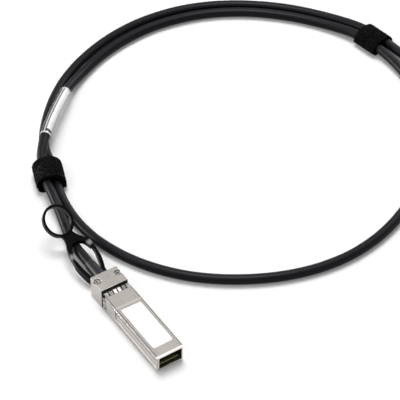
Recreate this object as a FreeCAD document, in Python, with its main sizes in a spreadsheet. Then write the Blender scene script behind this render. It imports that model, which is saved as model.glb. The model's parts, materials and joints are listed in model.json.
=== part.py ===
import FreeCAD, Part
import Sketcher
import math
import os

# Direct attach copper cable: one twinax cable with a pluggable network plug on each end,
# laid in a loop that two hook-and-loop straps hold.
#
# Millimetres, +Z up, and the surface that everything lies on is z = 0.  Each plug is drawn in a
# frame of its own: x across, y from its mating face (0) back to the cable, z up from that surface.

NUMBERS = {
    # shell of the plug
    "body_width": 13.5,
    "body_drop": 1.0,
    "body_height": 8.5,
    "wall": 1.0,
    "cover_thickness": 1.0,
    "shell_length": 46.5,
    "block_width": 13.8,
    "block_length": 9.8,
    "block_height": 10.8,
    "block_rounding": 0.5,
    "rear_floor": 4.15,
    "floor_step": 16.0,
    "lip_bevel": 0.6,
    "side_recess": 0.25,
    "side_recess_front": 1.2,
    "side_recess_gap": 7.8,
    "rib_setback": 6.5,
    "rib_depth": 0.8,
    "rib_thickness": 0.5,
    "fit_gap": 0.05,
    # paddle card inside
    "card_width": 9.2,
    "card_thickness": 1.0,
    "card_height": 3.2,
    "card_setback": 1.2,
    "ledge_start": 12.0,
    "ledge_overlap": 0.4,
    "contact_pitch": 0.8,
    "contact_width": 0.5,
    "contact_length": 3.2,
    "contact_thickness": 0.05,
    "contact_inset": 0.3,
    "chip_size": 3.4,
    "chip_height": 0.9,
    "chip_setback": 17.0,
    "wire_radius": 0.55,
    "wire_pitch": 1.2,
    "wire_overlap": 2.8,
    # cable end
    "cable_height": 5.4,
    "cable_radius": 2.4,
    "ferrule_radius": 2.7,
    "ferrule_length": 3.0,
    "boot_inside": 3.0,
    "boot_flange_radius": 3.0,
    "boot_flange_length": 1.2,
    "boot_neck_radius": 2.6,
    "boot_radius": 3.0,
    "boot_end_radius": 2.65,
    "boot_length": 12.7,
    "seat_gap": 0.1,
    # screws in the rear block
    "screw_spacing": 10.6,
    "screw_setback": 3.8,
    "screw_radius": 0.7,
    "screw_depth": 2.2,
    "head_radius": 1.35,
    "head_height": 0.8,
    "counterbore_radius": 1.75,
    "counterbore_depth": 1.0,
    "drive_width": 0.35,
    "drive_depth": 0.4,
    # spring fingers round the shell
    "collar_recess": 0.25,
    "collar_sheet": 0.2,
    "collar_back": 3.6,
    "collar_band": 0.7,
    "finger_width": 1.85,
    "finger_pitch": 2.2,
    "finger_bulge": 0.45,
    "finger_tip_gap": 0.6,
    # latch lever in the underside
    "lever_clearance": 1.0,
    "latch_pocket_width": 8.2,
    "latch_pocket_top": 3.65,
    "latch_width": 5.2,
    "latch_low": 1.3,
    "latch_thickness": 0.8,
    "lever_length": 13.0,
    "pivot_setback": 1.5,
    "latch_pivot_height": 2.4,
    "latch_hub_radius": 0.95,
    "pin_radius": 0.5,
    "pin_length": 11.0,
    "boss_width": 2.5,
    "boss_start": 12.6,
    "boss_tip": 10.2,
    "boss_end": 9.1,
    "wing_place": 8.0,
    "wing_length": 2.0,
    "wing_span": 7.6,
    "wing_low": 1.9,
    # slider that the pull tab moves
    "travel": 2.4,
    "slider_low": 1.3,
    "slider_sheet": 0.4,
    "rail_lead": 2.6,
    "rail_inner": 2.9,
    "rail_outer": 3.5,
    "ramp_height": 0.55,
    "ramp_crest": 0.6,
    "ramp_length": 2.2,
    "slider_bridge": 0.7,
    "slider_tail": 0.5,
    "slider_width": 8.9,
    "slider_gap": 0.15,
    "spring_start": 0.9,
    "spring_end": 5.7,
    "spring_width": 1.2,
    "spring_height": 0.75,
    "spring_sheet": 0.12,
    "plate_thickness": 0.4,
    "plate_width": 10.3,
    "plate_margin": 0.4,
    # pull tab
    "arm_inner": 3.5,
    "arm_thickness": 0.8,
    "arm_height": 3.0,
    "arm_low": 1.8,
    "foot_place": 4.5,
    "foot_length": 1.5,
    "arm_gap": 0.15,
    "bow_radius": 36.0,
    "bow_right": 7.1,
    "bow_right_place": 20.7,
    "bow_left": 6.05,
    "bow_left_place": 14.2,
    "bow_thickness": 0.9,
    "root_right": 6.5,
    "root_left": 3.0,
    "crotch_radius": 4.6,
    "crotch_side": 0.9,
    "crotch_place": 20.8,
    "tab_lean": -1.2,
    "ring_half_width": 6.97,
    "ring_half_length": 7.8,
    "ring_thickness": 0.75,
    "ring_depth": 2.2,
    "ring_place": 38.0,
    "ring_height": 11.9,
    "ring_pitch": 30.0,
    # label on the cover
    "label_width": 10.3,
    "label_length": 26.6,
    "label_setback": 5.9,
    "label_thickness": 0.12,
    "label_recess": 0.1,
    "label_rounding": 1.0,
    # pieces on the cable
    "sleeve_gap": 0.35,
    "sleeve_wall": 0.3,
    "tag_gap": 0.06,
    "tag_thickness": 0.14,
    "strap_width": 13.5,
    "strap_thickness": 1.4,
    "strap_gap": 0.1,
    "strap_rounding": 2.6,
}

# Outline of the tab's neck, from its left shoulder round the ring's end to the right one, and the
# underside and top of the tab from the block to the neck.  Both as (x or z, distance past the block).
NECK = [
    (-4.5, 24.2),
    (-3.3, 27.7),
    (-2.9, 30.2),
    (-3.4, 32.0),
    (2.4, 32.0),
    (2.9, 29.7),
    (4.1, 27.7),
    (6.1, 24.9),
    (6.6, 23.6),
]
UNDERSIDE = [(5.4, 22.7), (7.0, 25.7), (7.7, 32.0)]
TOPSIDE = [(8.9, 32.0), (8.2, 25.7), (7.7, 22.7)]

# The cable's route from one boot to the other, in the row frame.  It runs once round the whole
# loop, over the same side twice, so two runs lie together in each strap.
ROUTE = [
    (0.0, 18.2, 5.4),
    (0.0, 24.8, 5.4),
    (0.8, 32.2, 4.1),
    (2.4, 40.0, 2.9),
    (4.5, 47.4, 2.8),
    (6.2, 54.2, 4.1),
    (7.5, 61.0, 5.9),
    (9.0, 68.2, 6.5),
    (10.8, 75.5, 5.6),
    (13.3, 82.2, 5.4),
    (15.9, 88.4, 6.3),
    (19.8, 94.3, 7.9),
    (24.9, 100.4, 8.5),
    (30.8, 106.8, 8.3),
    (37.2, 112.9, 7.9),
    (43.8, 119.0, 7.1),
    (50.6, 125.2, 5.8),
    (58.2, 131.0, 4.0),
    (67.6, 136.2, 2.6),
    (80.0, 142.0, 2.45),
    (97.0, 146.6, 2.45),
    (118.0, 148.2, 2.45),
    (142.0, 143.2, 2.45),
    (163.4, 131.6, 2.45),
    (180.6, 115.6, 2.45),
    (193.0, 98.2, 2.7),
    (199.8, 83.6, 4.1),
    (202.1, 70.4, 4.1),
    (203.3, 56.0, 3.0),
    (201.2, 38.0, 2.45),
    (193.6, 17.8, 2.45),
    (179.4, -3.8, 2.45),
    (160.0, -21.2, 2.45),
    (138.6, -33.6, 2.45),
    (116.0, -40.5, 2.45),
    (93.6, -41.1, 2.45),
    (71.4, -35.5, 2.45),
    (50.2, -24.3, 2.45),
    (32.6, -9.5, 2.45),
    (19.6, 9.1, 2.45),
    (12.6, 28.0, 2.45),
    (10.6, 41.8, 2.45),
    (10.8, 52.2, 2.45),
    (11.9, 60.8, 2.6),
    (13.3, 67.6, 3.5),
    (15.5, 73.8, 4.0),
    (18.0, 80.4, 3.9),
    (20.3, 87.2, 3.8),
    (21.9, 94.4, 2.6),
    (24.6, 101.8, 2.45),
    (29.4, 109.6, 2.45),
    (36.2, 118.0, 2.45),
    (45.4, 127.6, 2.45),
    (57.6, 137.4, 2.45),
    (73.6, 146.0, 2.45),
    (94.0, 152.6, 2.45),
    (116.0, 154.6, 2.45),
    (140.0, 150.6, 2.45),
    (163.0, 139.2, 2.45),
    (183.4, 121.8, 2.45),
    (198.0, 101.6, 2.7),
    (205.6, 84.8, 4.1),
    (208.0, 70.8, 4.1),
    (209.8, 59.4, 3.2),
    (212.4, 49.0, 2.7),
    (214.5, 40.0, 2.7),
    (215.8, 32.2, 3.8),
    (216.0, 24.8, 5.4),
    (216.0, 18.2, 5.4),
]
SLEEVE_STRETCH = slice(25, 32)
STRAP_1 = {"centre": (14.9, 79.5), "heading": -20.5, "inner_width": 10.4, "inner_height": 7.2}
STRAP_2 = {"centre": (204.1, 75.9), "heading": 9.0, "inner_width": 11.4, "inner_height": 5.4}


class Size:
    """A length together with the spreadsheet expression that gives it."""

    def __init__(self, value, text):
        self.value = value
        self.text = text

    def joined(self, other, sign, value):
        return Size(value, f"({self.text} {sign} {as_text(other)})")

    def __add__(self, other):
        return self.joined(other, "+", self.value + as_number(other))

    def __sub__(self, other):
        return self.joined(other, "-", self.value - as_number(other))

    def __mul__(self, other):
        return self.joined(other, "*", self.value * as_number(other))

    def __truediv__(self, other):
        return self.joined(other, "/", self.value / as_number(other))

    def __rmul__(self, other):
        return Size(float(other), as_text(other)) * self

    def __radd__(self, other):
        return Size(float(other), as_text(other)) + self

    def __rsub__(self, other):
        return Size(float(other), as_text(other)) - self

    def __neg__(self):
        return Size(-self.value, f"(0 - {self.text})")


def as_number(length):
    return length.value if isinstance(length, Size) else float(length)


def as_text(length):
    return length.text if isinstance(length, Size) else f"{length:.6g}"


class Sheet:
    """The document's spreadsheet: reading an attribute gives that cell as a Size."""

    def __init__(self, document, numbers):
        table = document.addObject("Spreadsheet::Sheet", "Sizes")
        for row, (name, number) in enumerate(numbers.items(), start=1):
            table.set(f"A{row}", name)
            table.set(f"B{row}", str(number))
            table.setAlias(f"B{row}", name)
        self.numbers = numbers

    def __getattr__(self, name):
        return Size(self.numbers[name], f"Sizes.{name}")


doc = FreeCAD.newDocument("DirectAttachCable")
size = Sheet(doc, NUMBERS)
doc.recompute()


# ---- general helpers -------------------------------------------------------------------------


def bind(thing, path, length):
    thing.setExpression(path, as_text(length))


def bind_point(thing, path, point):
    for axis, length in zip("xyz", point):
        bind(thing, f"{path}.{axis}", length)


def draw_polygon(sketch, corners):
    """Closed outline, every corner held to the sketch's origin by two bound dimensions."""
    points = [FreeCAD.Vector(as_number(u), as_number(v), 0) for u, v in corners]
    first = sketch.GeometryCount
    count = len(points)
    for index in range(count):
        sketch.addGeometry(Part.LineSegment(points[index], points[(index + 1) % count]))
    for index in range(count):
        sketch.addConstraint(
            Sketcher.Constraint("Coincident", first + index, 2, first + (index + 1) % count, 1)
        )
    for index, corner in enumerate(corners):
        hold(sketch, first + index, 1, corner)


def hold(sketch, shape, vertex, point):
    """Dimensions from the sketch's origin to one vertex."""
    for kind, axis, length in (("DistanceX", -2, point[0]), ("DistanceY", -1, point[1])):
        if not isinstance(length, Size) and length == 0:
            sketch.addConstraint(Sketcher.Constraint("PointOnObject", shape, vertex, axis))
        else:
            rule = Sketcher.Constraint(kind, -1, 1, shape, vertex, as_number(length))
            bind(sketch, f"Constraints[{sketch.addConstraint(rule)}]", length)


def draw_circle(sketch, centre, radius):
    middle = FreeCAD.Vector(as_number(centre[0]), as_number(centre[1]), 0)
    round_line = Part.Circle(middle, FreeCAD.Vector(0, 0, 1), as_number(radius))
    shape = sketch.addGeometry(round_line)
    hold(sketch, shape, 3, centre)
    rule = Sketcher.Constraint("Radius", shape, as_number(radius))
    bind(sketch, f"Constraints[{sketch.addConstraint(rule)}]", radius)


def rectangle(u_low, u_high, v_low, v_high):
    return [(u_low, v_low), (u_high, v_low), (u_high, v_high), (u_low, v_high)]


def both_sides(outline):
    """An outline and its mirror image in the sketch's vertical axis."""
    return [outline, [(-u, v) for u, v in reversed(outline)]]


class Solid:
    """A PartDesign body that grows feature by feature."""

    def __init__(self, label):
        self.body = doc.addObject("PartDesign::Body", label)
        self.body.Label = label
        self.planes = {item.Role: item for item in self.body.Origin.OriginFeatures}

    def sketch(self, plane, away, outlines, raised=0):
        """A sketch on an origin plane, away along its normal and raised along its own v."""
        sketch = self.body.newObject("Sketcher::SketchObject", "Outline")
        sketch.AttachmentSupport = [(self.planes[f"{plane}_Plane"], "")]
        sketch.MapMode = "FlatFace"
        bind(sketch, "AttachmentOffset.Base.z", away)
        bind(sketch, "AttachmentOffset.Base.y", raised)
        for outline in outlines:
            if outline[0] == "circle":
                draw_circle(sketch, outline[1], outline[2])
            else:
                draw_polygon(sketch, outline)
        return sketch

    def feature(self, kind, sketch, length):
        feature = self.body.newObject(f"PartDesign::{kind}", kind)
        feature.Profile = sketch
        bind(feature, "Length", length)
        doc.recompute()
        return feature

    def pad(self, plane, low, high, *outlines):
        """Adds the outlines from low to high along the plane's axis of the plug."""
        away = -high if plane == "XZ" else low
        return self.feature("Pad", self.sketch(plane, away, outlines), high - low)

    def pocket(self, plane, low, high, *outlines):
        """Cuts the outlines from low to high along the plane's axis of the plug."""
        before = self.body.Shape.Volume
        away = -low if plane == "XZ" else high
        cut = self.feature("Pocket", self.sketch(plane, away, outlines), high - low)
        if not self.body.Shape.Volume < before:
            raise RuntimeError(f"{self.body.Label}: a pocket cut nothing")
        return cut

    def turned(self, kind, height, outline):
        """Revolution or Groove of a (y, radius) outline about the line along y at height."""
        sketch = self.sketch("YZ", 0, [outline], raised=height)
        feature = self.body.newObject(f"PartDesign::{kind}", kind)
        feature.Profile = sketch
        feature.ReferenceAxis = (sketch, ["H_Axis"])
        feature.Angle = 360
        doc.recompute()
        return feature

    def dress(self, kind, amount, wanted):
        """Fillet or Chamfer on the edges that wanted(edge) picks."""
        base = self.body.Tip
        names = [f"Edge{n}" for n, edge in enumerate(base.Shape.Edges, 1) if wanted(edge)]
        if not names:
            raise RuntimeError(f"{self.body.Label}: no edge for the {kind}")
        feature = self.body.newObject(f"PartDesign::{kind}", kind)
        feature.Base = (base, names)
        bind(feature, "Radius" if kind == "Fillet" else "Size", amount)
        doc.recompute()
        return feature

    def repeat(self, feature, axis, count, pitch):
        """A row of copies of one feature."""
        row = self.body.newObject("PartDesign::LinearPattern", "Row")
        row.Originals = [feature]
        row.Direction = (self.planes[f"{axis}_Axis"], [""])
        row.Occurrences = count
        bind(row, "Length", pitch * (count - 1))
        self.body.Tip = row
        doc.recompute()
        return row


def brick(x_low, x_high, y_low, y_high, z_low, z_high):
    block = doc.addObject("Part::Box", "Brick")
    bind(block, "Length", x_high - x_low)
    bind(block, "Width", y_high - y_low)
    bind(block, "Height", z_high - z_low)
    bind_point(block, "Placement.Base", (x_low, y_low, z_low))
    return block


def rod(radius, start, length, axis):
    """A cylinder from start along an axis of the plug."""
    turns = {"x": ((0, 1, 0), 90), "y": ((1, 0, 0), -90), "z": ((0, 0, 1), 0)}
    direction, angle = turns[axis]
    cylinder = doc.addObject("Part::Cylinder", "Rod")
    bind(cylinder, "Radius", radius)
    bind(cylinder, "Height", length)
    cylinder.Placement.Rotation = FreeCAD.Rotation(FreeCAD.Vector(*direction), angle)
    bind_point(cylinder, "Placement.Base", start)
    return cylinder


def joined(kind, pieces):
    """MultiFuse, MultiCommon or Compound of several objects."""
    group = doc.addObject(f"Part::{kind}", kind)
    if kind == "Compound":
        group.Links = pieces
    else:
        group.Shapes = pieces
    return group


def less(base, tool):
    cut = doc.addObject("Part::Cut", "Cut")
    cut.Base = base
    cut.Tool = tool
    return cut


pieces = {}


def finish(thing, label, x_place=0, y_place=0):
    """Names a sub-part, puts it where its plug lies and notes it for export."""
    thing.Label = label
    bind(thing, "Placement.Base.x", x_place)
    bind(thing, "Placement.Base.y", y_place)
    pieces[label] = thing


# ---- sizes that several pieces of a plug share -----------------------------------------------

half_body = size.body_width / 2
half_block = size.block_width / 2
half_inside = half_body - size.wall
seam = size.body_drop + size.body_height - size.cover_thickness
top = size.body_drop + size.body_height
inner_floor = size.body_drop + size.wall
plug_length = size.shell_length + size.block_length
card_top = size.card_height + size.card_thickness
boot_end = plug_length + size.boot_length
front_cavity = size.shell_length - size.floor_step
collar_front = size.shell_length - size.collar_back
recess_wall = half_body - size.collar_recess
boot_front = plug_length - size.boot_inside
ferrule_front = boot_front - size.ferrule_length
screw_line = plug_length - size.screw_setback
pivot = size.shell_length - size.pivot_setback
lever_front = pivot - size.lever_length
wing_front = pivot - size.wing_place
rail_front = wing_front - size.rail_lead
foot_front = size.shell_length + size.foot_place
foot_end = foot_front + size.foot_length
slider_end = foot_end + size.slider_tail
slider_reach = foot_front - size.slider_bridge
spring_front = size.shell_length + size.spring_start
spring_back = size.shell_length + size.spring_end
slider_top = size.slider_low + size.slider_sheet
plate_low = size.slider_low - size.slider_gap - size.plate_thickness
slot_low = size.arm_inner - size.arm_gap
slot_high = size.arm_inner + size.arm_thickness + size.arm_gap
arm_top = size.arm_low + size.arm_height


# ---- pieces of a plug ------------------------------------------------------------------------


def cable_bore(solid):
    """The hollow round the cable's axis, for the wires, the ferrule and the boot's flange."""
    wide = size.ferrule_radius + size.seat_gap
    flange = size.boot_flange_radius + size.fit_gap
    neck = size.boot_neck_radius + size.fit_gap
    flange_end = boot_front + size.boot_flange_length
    outline = [
        (size.shell_length - size.wall, 0),
        (size.shell_length - size.wall, wide),
        (boot_front, wide),
        (boot_front, flange),
        (flange_end, flange),
        (flange_end, neck),
        (plug_length + 1, neck),
        (plug_length + 1, 0),
    ]
    solid.turned("Groove", size.cable_height, outline)


def collar_seat(open_end, far_side, floor):
    """U-shaped outline of the shallow seat that the spring collar sits in."""
    wide = half_body + 1
    right = [(wide, far_side), (wide, open_end), (recess_wall, open_end), (recess_wall, floor)]
    return right + [(-x, z) for x, z in reversed(right)]


def base():
    """Die-cast lower shell with the lower half of the rear block."""
    solid = Solid("base")
    outline = rectangle(-half_body, half_body, size.body_drop, seam)
    solid.pad("XZ", 0, size.shell_length, outline)
    block = rectangle(-half_block, half_block, 0, size.cable_height)
    solid.pad("XZ", size.shell_length, plug_length, block)
    solid.dress("Fillet", size.block_rounding, rear_upright)
    solid.dress("Chamfer", size.lip_bevel, front_outer_edge)
    channel = rectangle(-half_inside, half_inside, inner_floor, seam + 1)
    solid.pocket("XZ", 0, front_cavity, channel)
    rear = rectangle(-half_inside, half_inside, front_cavity, size.shell_length - size.wall)
    solid.pocket("XY", size.rear_floor, seam, rear)
    ledge_edge = size.card_width / 2 - size.ledge_overlap
    ledge = rectangle(ledge_edge, half_inside, inner_floor, size.card_height)
    solid.pad("XZ", size.ledge_start, front_cavity, *both_sides(ledge))
    cable_bore(solid)
    # side recess under the cover's edge
    recess_end = collar_front - size.side_recess_gap
    panel = rectangle(size.side_recess_front, recess_end, inner_floor + 0.2, seam - 0.7)
    solid.pocket("YZ", half_body - size.side_recess, half_body, panel)
    solid.pocket("YZ", -half_body, size.side_recess - half_body, panel)
    # seat of the spring collar
    under = size.body_drop + size.collar_recess
    solid.pocket("XZ", collar_front, size.shell_length, collar_seat(seam + 1, 0, under))
    # latch pocket, pin bore, slider recess and arm slots
    half_pocket = size.latch_pocket_width / 2
    pocket_end = size.shell_length - 0.2
    lever_room = rectangle(-half_pocket, half_pocket, lever_front - size.lever_clearance, pocket_end)
    solid.pocket("XY", 0, size.latch_pocket_top, lever_room)
    half_pin = size.pin_length / 2
    pin_bore = ("circle", (pivot, size.latch_pivot_height), size.pin_radius + 0.02)
    solid.pocket("YZ", -half_pin, half_pin, pin_bore)
    half_slider = size.slider_width / 2 + size.slider_gap
    room_end = slider_end + size.travel + size.seat_gap
    room = rectangle(-half_slider, half_slider, size.shell_length - 1, room_end)
    solid.pocket("XY", 0, slider_top + size.seat_gap, room)
    half_plate = size.plate_width / 2 + size.fit_gap
    plate_end = room_end + size.plate_margin + size.fit_gap
    plate_room = rectangle(-half_plate, half_plate, size.shell_length - 1, plate_end)
    solid.pocket("XY", 0, plate_low + size.plate_thickness, plate_room)
    feet_end = foot_end + size.travel + size.arm_gap
    feet = rectangle(slot_low, slot_high, foot_front - size.arm_gap, feet_end)
    solid.pocket("XY", slider_top, size.cable_height, *both_sides(feet))
    arms = rectangle(slot_low, slot_high, foot_front - size.arm_gap, plug_length + 1)
    solid.pocket("XY", size.arm_low - size.arm_gap, size.cable_height, *both_sides(arms))
    half_spring = size.spring_width / 2 + size.seat_gap
    spring_room = rectangle(-half_spring, half_spring, size.shell_length - 1, spring_back)
    spring_top = slider_top + size.spring_height + size.seat_gap
    solid.pocket("XY", slider_top, spring_top, spring_room)
    screw = ("circle", (size.screw_spacing / 2, screw_line), size.screw_radius + 0.02)
    other = ("circle", (-(size.screw_spacing / 2), screw_line), size.screw_radius + 0.02)
    solid.pocket("XY", size.screw_depth - 0.2, size.cable_height, screw, other)
    return solid.body


def rear_upright(edge):
    """The two upright edges at the back of the block."""
    ends = [vertex.Point for vertex in edge.Vertexes]
    if len(ends) < 2:
        return False
    upright = abs(ends[0].x - ends[1].x) < 1e-6 and abs(ends[0].y - ends[1].y) < 1e-6
    return upright and abs(ends[0].y - plug_length.value) < 1e-6


def front_outer_edge(edge):
    """The outer edges of the mating face that run along a side, the top or the bottom."""
    ends = [vertex.Point for vertex in edge.Vertexes]
    at_front = all(abs(end.y) < 1e-6 for end in ends)
    low = all(abs(end.z - size.body_drop.value) < 1e-6 for end in ends)
    high = all(abs(end.z - top.value) < 1e-6 for end in ends)
    left = all(abs(end.x + half_body.value) < 1e-6 for end in ends)
    right = all(abs(end.x - half_body.value) < 1e-6 for end in ends)
    return len(ends) == 2 and at_front and (low or high or left or right)


def cover():
    """Die-cast upper shell with the upper half of the rear block."""
    solid = Solid("cover")
    solid.pad("XZ", 0, size.shell_length, rectangle(-half_body, half_body, seam, top))
    block = rectangle(-half_block, half_block, size.cable_height, size.block_height)
    solid.pad("XZ", size.shell_length, plug_length, block)
    solid.dress("Fillet", size.block_rounding, rear_upright)
    solid.dress("Chamfer", size.lip_bevel, front_outer_edge)
    rib_low = half_inside - size.fit_gap - size.rib_thickness
    rib = rectangle(rib_low, half_inside - size.fit_gap, seam - size.rib_depth, seam)
    solid.pad("XZ", size.ledge_start, size.shell_length - size.rib_setback, *both_sides(rib))
    cable_bore(solid)
    half_label = size.label_width / 2 + size.fit_gap
    label_end = size.label_setback + size.label_length + size.fit_gap
    panel = rectangle(-half_label, half_label, size.label_setback - size.fit_gap, label_end)
    solid.pocket("XY", top - size.label_recess, top, panel)
    over = top - size.collar_recess
    solid.pocket("XZ", collar_front, size.shell_length, collar_seat(seam - 1, top + 1, over))
    half_spacing = size.screw_spacing / 2
    bore_floor = size.block_height - size.counterbore_depth
    holes = ((size.screw_radius + 0.1, size.cable_height), (size.counterbore_radius, bore_floor))
    for radius, low in holes:
        right = ("circle", (half_spacing, screw_line), radius)
        left = ("circle", (-half_spacing, screw_line), radius)
        solid.pocket("XY", low, size.block_height, right, left)
    return solid.body


def emi_collar():
    """Sheet-metal band round the shell with a row of spring fingers on every side."""
    solid = Solid("emi_collar")
    sheet = size.collar_sheet
    out_x = recess_wall + size.fit_gap + sheet
    in_x = recess_wall + size.fit_gap
    in_low = size.body_drop + size.collar_recess - size.fit_gap
    in_high = top - size.collar_recess + size.fit_gap
    outer = rectangle(-out_x, out_x, in_low - sheet, in_high + sheet)
    inner = rectangle(-in_x, in_x, in_low, in_high)
    band_end = collar_front + size.collar_band
    solid.pad("XZ", collar_front, band_end, outer, inner)
    tip = size.shell_length - size.finger_tip_gap
    crest = band_end + (tip - band_end) * 0.5
    rise = [(band_end, 0), (band_end, sheet)]
    hump = [(crest - 0.35, size.finger_bulge + sheet), (crest + 0.35, size.finger_bulge + sheet)]
    fall = [(tip, sheet), (tip, 0)]
    under = [(crest + 0.35, size.finger_bulge), (crest - 0.35, size.finger_bulge)]
    profile = rise + hump + fall + under
    row_start = -(size.finger_pitch * 2.5 + size.finger_width / 2)
    row_stop = row_start + size.finger_width
    above = [(y, in_high + v) for y, v in profile]
    below = [(y, in_low - v) for y, v in profile]
    for outline in (above, below):
        finger = solid.pad("YZ", row_start, row_stop, outline)
        solid.repeat(finger, "X", 6, size.finger_pitch)
    side_low = (size.body_drop + top) / 2 - size.finger_pitch - size.finger_width / 2
    side_high = side_low + size.finger_width
    for sign in (1, -1):
        outline = [((in_x + v) * sign, y) for y, v in profile]
        finger = solid.pad("XY", side_low, side_high, outline)
        solid.repeat(finger, "Z", 3, size.finger_pitch)
    return solid.body


def latch():
    """Rocking lever whose boss locks the plug in its cage."""
    solid = Solid("latch")
    half = size.latch_width / 2
    low = size.latch_low
    high = size.latch_low + size.latch_thickness
    lever = rectangle(lever_front, pivot, low, high)
    solid.pad("YZ", -half, half, lever)
    centre = (pivot, size.latch_pivot_height)
    solid.pad("YZ", -half, half, ("circle", centre, size.latch_hub_radius))
    tip = pivot - size.boss_tip
    boss_end = pivot - size.boss_end
    boss = [(pivot - size.boss_start, low), (tip, 0), (boss_end, 0), (boss_end, low)]
    solid.pad("YZ", -(size.boss_width / 2), size.boss_width / 2, boss)
    half_wing = size.wing_span / 2
    wing_end = wing_front + size.wing_length
    wings = rectangle(-half_wing, half_wing, wing_front, wing_end)
    solid.pad("XY", size.wing_low, high, wings)
    bore = ("circle", centre, size.pin_radius + size.fit_gap)
    solid.pocket("YZ", -half, half, bore)
    return solid.body


def latch_pin():
    solid = Solid("latch_pin")
    half = size.pin_length / 2
    section = ("circle", (pivot, size.latch_pivot_height), size.pin_radius)
    solid.pad("YZ", -half, half, section)
    return solid.body


def slider():
    """Stamped fork: its rails carry the ramps that lift the latch's wings."""
    solid = Solid("slider")
    half = size.slider_width / 2
    notch_low = foot_front - 0.1
    notch_high = foot_end + 0.1
    notch_in = size.arm_inner - 0.1
    tongue = size.spring_width / 2
    side = [
        (tongue, spring_front),
        (tongue, slider_reach),
        (size.rail_inner, slider_reach),
        (size.rail_inner, rail_front),
        (size.rail_outer, rail_front),
        (size.rail_outer, slider_reach),
        (half, slider_reach),
        (half, notch_low),
        (notch_in, notch_low),
        (notch_in, notch_high),
        (half, notch_high),
        (half, slider_end),
    ]
    outline = side + [(-x, y) for x, y in reversed(side)]
    solid.pad("XY", size.slider_low, slider_top, outline)
    ramp_end = rail_front + size.ramp_length
    crest_end = rail_front + size.ramp_crest
    ramp = [
        (rail_front, slider_top),
        (rail_front, slider_top + size.ramp_height),
        (crest_end, slider_top + size.ramp_height),
        (ramp_end, slider_top),
    ]
    solid.pad("YZ", size.rail_inner, size.rail_outer, ramp)
    solid.pad("YZ", -size.rail_outer, -size.rail_inner, ramp)
    flange = rectangle(-tongue, tongue, spring_front, spring_front + size.slider_sheet)
    solid.pad("XY", slider_top, slider_top + size.spring_height, flange)
    return solid.body


def return_spring():
    """Wave spring between the slider's flange and the block."""
    solid = Solid("return_spring")
    start = spring_front + size.slider_sheet
    step = (spring_back - start) / 6
    near = slider_top + size.fit_gap
    far = slider_top + size.spring_height - size.spring_sheet
    under = [(start + step * index, far if index % 2 else near) for index in range(7)]
    over = [(y, z + size.spring_sheet) for y, z in reversed(under)]
    half = size.spring_width / 2
    solid.pad("YZ", -half, half, under + over)
    return solid.body


def bottom_plate():
    """Plate that closes the slider's recess from below."""
    half = size.plate_width / 2
    front = size.shell_length + size.fit_gap
    end = slider_end + size.travel + size.seat_gap + size.plate_margin
    solid = Solid("bottom_plate")
    outline = rectangle(-half, half, front, end)
    solid.pad("XY", plate_low, plate_low + size.plate_thickness, outline)
    return solid.body


def past_block(points):
    """Points given by their distance past the block, as (y, the other coordinate)."""
    return [(plug_length + distance, other) for other, distance in points]


def bowed(shrink):
    """Column between the outer faces of the two bowed arms."""
    radius = size.bow_radius - shrink
    right_middle = (size.bow_right - size.bow_radius, plug_length + size.bow_right_place, 0)
    left_middle = (size.bow_radius - size.bow_left, plug_length + size.bow_left_place, 0)
    right = rod(radius, right_middle, size.ring_height, "z")
    left = rod(radius, left_middle, size.ring_height, "z")
    return joined("MultiCommon", [right, left])


def pull_tab():
    """Moulded tab: two bowed arms astride the cable, a fork, a neck and a tilted finger ring."""
    tall = size.ring_height
    fork = plug_length + NECK[0][1]
    crotch_line = plug_length + size.crotch_place
    span = brick(-half_body - 1, half_body + 1, plug_length + 0.3, fork + 1, 0, tall)
    between = brick(-size.arm_inner, size.arm_inner, 0, crotch_line, 0, tall)
    short = brick(-half_body, half_body, 0, crotch_line, 0, tall)
    crotch = rod(size.crotch_radius, (size.crotch_side, crotch_line, 0), tall, "z")
    open_part = joined("MultiCommon", [bowed(size.bow_thickness), short])
    opening = joined("MultiFuse", [open_part, between, crotch])
    hoop = less(joined("MultiCommon", [bowed(0), span]), opening)
    arm_end = size.arm_inner + size.arm_thickness
    right_end = plug_length + size.root_right
    left_end = plug_length + size.root_left
    right = brick(size.arm_inner, arm_end, foot_front, right_end, 0, tall)
    left = brick(-arm_end, -size.arm_inner, foot_front, left_end, 0, tall)
    neck = Solid("neck")
    neck.pad("XY", 0, tall, [(x, y) for y, x in past_block(NECK)])
    shoulders = less(neck.body, crotch)
    plan = joined("MultiFuse", [hoop, right, left, shoulders])
    side = Solid("side")
    root_end = plug_length + 0.4
    root = [(root_end, arm_top), (foot_front, arm_top), (foot_front, size.arm_low)]
    elevation = [(root_end, size.arm_low)] + past_block(UNDERSIDE + TOPSIDE) + root
    side.pad("YZ", -half_body - 1, half_body + 1, elevation)
    tab = joined("MultiCommon", [plan, side.body])
    right_foot = brick(size.arm_inner, arm_end, foot_front, foot_end, size.slider_low, arm_top)
    left_foot = brick(-arm_end, -size.arm_inner, foot_front, foot_end, size.slider_low, arm_top)
    return joined("MultiFuse", [tab, right_foot, left_foot, ring()])


def ring():
    """Oval finger ring, tilted up towards the back."""
    bands = []
    for thickness in (0, size.ring_thickness):
        oval = doc.addObject("Part::Ellipse", "Oval")
        bind(oval, "MajorRadius", size.ring_half_length - thickness)
        bind(oval, "MinorRadius", size.ring_half_width - thickness)
        band = doc.addObject("Part::Extrusion", "Band")
        band.Base = oval
        band.Solid = True
        band.DirMode = "Custom"
        band.Dir = FreeCAD.Vector(0, 0, 1)
        band.Symmetric = True
        bind(band, "LengthFwd", size.ring_depth)
        bands.append(band)
    hoop = less(*bands)
    quarter = FreeCAD.Rotation(FreeCAD.Vector(0, 0, 1), 90)
    tilt = FreeCAD.Rotation(FreeCAD.Vector(1, 0, 0), NUMBERS["ring_pitch"])
    hoop.Placement.Rotation = tilt.multiply(quarter)
    bind_point(hoop, "Placement.Base", (size.tab_lean, plug_length + size.ring_place, size.ring_height))
    return hoop


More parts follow.
